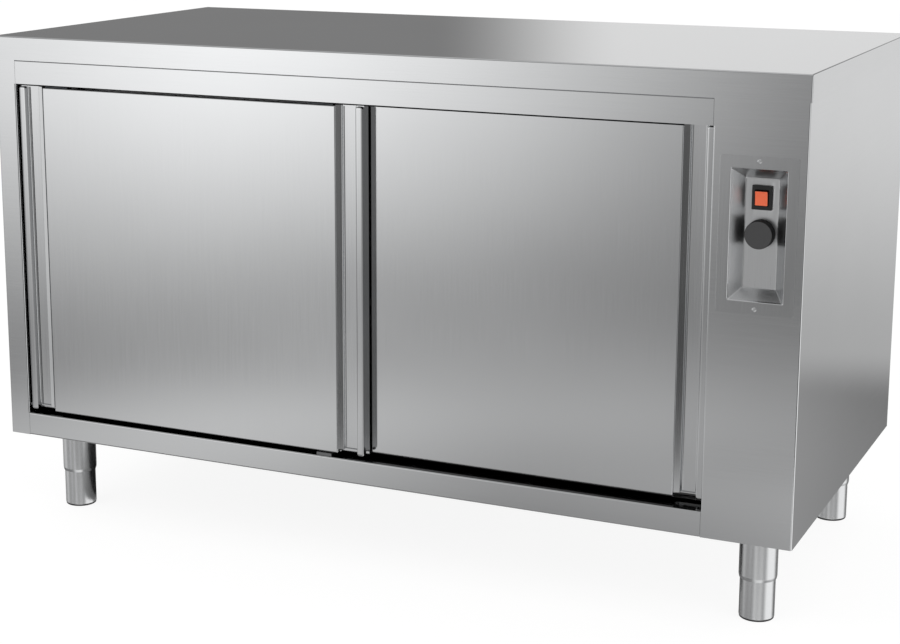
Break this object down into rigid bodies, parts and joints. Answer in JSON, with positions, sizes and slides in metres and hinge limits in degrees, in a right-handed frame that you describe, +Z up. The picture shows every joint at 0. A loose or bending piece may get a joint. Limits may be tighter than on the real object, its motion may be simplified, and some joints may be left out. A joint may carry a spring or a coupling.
{
  "type": "plate warmer cabinet",
  "caption": "Free-standing heated plate cabinet with a flat steel worktop, sliding doors with full-height recessed handles, a sunk control panel and round adjustable feet.",
  "frame": {"origin": "centre of the cabinet's outline at floor level", "axes": "+X to the right as seen from the front, +Y to the back, +Z up; the doors and the controls face -Y"},
  "size_m": [1.4, 0.7, 0.85],
  "materials": {
    "worktop_steel": "fine satin, long grain",
    "body_steel": "fine satin",
    "door_steel": "fine satin, upright grain",
    "handle_steel": "fine satin",
    "leg_steel": "polished",
    "liner_steel": "mill finish",
    "zinc_steel": "zinc plated",
    "guide_steel": "satin",
    "screw_steel": "polished",
    "heater_sheath": "dark oxide",
    "fan_aluminium": "plain",
    "motor_paint": "semi-gloss",
    "control_panel": "pressed, satin",
    "ceramic_plastic": "matte",
    "switch_black": "satin",
    "rocker_orange": "translucent gloss",
    "knob_grey": "satin",
    "spindle_brass": "turned",
    "gland_plastic": "matte",
    "pad_black": "matte",
    "roller_plastic": "matte",
    "mineral_wool": "fibrous",
    "board": "raw"
  },
  "bodies": {
    "cabinet": {"worktop": "worktop_steel", "worktop_board": "board", "side_left": "body_steel", "side_right": "body_steel", "rear_panel": "body_steel", "base_panel": "body_steel", "top_rail": "body_steel", "bottom_rail": "body_steel", "door_track": "zinc_steel", "bottom_guide": "guide_steel", "liner_left": "liner_steel", "partition": "liner_steel", "liner_rear": "liner_steel", "chamber_floor": "liner_steel", "chamber_ceiling": "liner_steel", "shelf": "liner_steel", "shelf_supports": "liner_steel", "insulation": "mineral_wool", "heater_guard": "liner_steel", "heating_element": "heater_sheath", "fan_motor": "motor_paint", "motor_mount": "zinc_steel", "control_plate": "control_panel", "plate_screws": "screw_steel", "thermostat": "ceramic_plastic", "switch_frame": "switch_black", "terminal_block": "ceramic_plastic", "cable_gland": "gland_plastic", "leg_plates": "zinc_steel", "leg_sleeves": "leg_steel"},
    "left_door": {"left_door_front": "door_steel", "left_door_back": "door_steel", "left_door_outer_handle": "handle_steel", "left_door_inner_handle": "handle_steel", "left_door_hangers": "zinc_steel"},
    "left_roller_outer": {"left_roller_outer": "roller_plastic"},
    "left_roller_inner": {"left_roller_inner": "roller_plastic"},
    "right_door": {"right_door_front": "door_steel", "right_door_back": "door_steel", "right_door_outer_handle": "handle_steel", "right_door_inner_handle": "handle_steel", "right_door_hangers": "zinc_steel"},
    "right_roller_outer": {"right_roller_outer": "roller_plastic"},
    "right_roller_inner": {"right_roller_inner": "roller_plastic"},
    "knob": {"knob": "knob_grey", "knob_spindle": "spindle_brass"},
    "rocker": {"switch_rocker": "rocker_orange"},
    "fan": {"fan_rotor": "fan_aluminium"},
    "foot_front_left": {"foot_front_left": "leg_steel", "pad_front_left": "pad_black"},
    "foot_front_right": {"foot_front_right": "leg_steel", "pad_front_right": "pad_black"},
    "foot_rear_left": {"foot_rear_left": "leg_steel", "pad_rear_left": "pad_black"},
    "foot_rear_right": {"foot_rear_right": "leg_steel", "pad_rear_right": "pad_black"}
  },
  "joints": [
    {"name": "left_door_slide", "type": "slide", "parent": "cabinet", "child": "left_door", "axis": [1, 0, 0], "range_m": [0, 0.558]},
    {"name": "right_door_slide", "type": "slide", "parent": "cabinet", "child": "right_door", "axis": [-1, 0, 0], "range_m": [0, 0.558]},
    {"name": "left_roller_outer_spin", "type": "hinge", "parent": "left_door", "child": "left_roller_outer", "pos_m": [-0.58, -0.33875, 0.7878], "axis": [0, 1, 0], "continuous": true},
    {"name": "left_roller_inner_spin", "type": "hinge", "parent": "left_door", "child": "left_roller_inner", "pos_m": [-0.078, -0.33875, 0.7878], "axis": [0, 1, 0], "continuous": true},
    {"name": "right_roller_outer_spin", "type": "hinge", "parent": "right_door", "child": "right_roller_outer", "pos_m": [0.48, -0.31375, 0.7878], "axis": [0, 1, 0], "continuous": true},
    {"name": "right_roller_inner_spin", "type": "hinge", "parent": "right_door", "child": "right_roller_inner", "pos_m": [-0.022, -0.31375, 0.7878], "axis": [0, 1, 0], "continuous": true},
    {"name": "knob_turn", "type": "hinge", "parent": "cabinet", "child": "knob", "pos_m": [0.6285, -0.334, 0.615], "axis": [0, 1, 0], "range_deg": [0, 270]},
    {"name": "rocker_tilt", "type": "hinge", "parent": "cabinet", "child": "rocker", "pos_m": [0.6285, -0.3265, 0.6675], "axis": [-1, 0, 0], "range_deg": [0, 12]},
    {"name": "fan_spin", "type": "hinge", "parent": "cabinet", "child": "fan", "pos_m": [0.54, 0.04, 0.318], "axis": [1, 0, 0], "continuous": true},
    {"name": "foot_front_left_height", "type": "slide", "parent": "cabinet", "child": "foot_front_left", "axis": [0, 0, -1], "range_m": [0, 0.05]},
    {"name": "foot_front_right_height", "type": "slide", "parent": "cabinet", "child": "foot_front_right", "axis": [0, 0, -1], "range_m": [0, 0.05]},
    {"name": "foot_rear_left_height", "type": "slide", "parent": "cabinet", "child": "foot_rear_left", "axis": [0, 0, -1], "range_m": [0, 0.05]},
    {"name": "foot_rear_right_height", "type": "slide", "parent": "cabinet", "child": "foot_rear_right", "axis": [0, 0, -1], "range_m": [0, 0.05]}
  ],
  "couplings": [
    {"joint": "left_roller_outer_spin", "follows": "left_door_slide", "rad_per_m": 80},
    {"joint": "left_roller_inner_spin", "follows": "left_door_slide", "rad_per_m": 80},
    {"joint": "right_roller_outer_spin", "follows": "right_door_slide", "rad_per_m": -80},
    {"joint": "right_roller_inner_spin", "follows": "right_door_slide", "rad_per_m": -80}
  ]
}
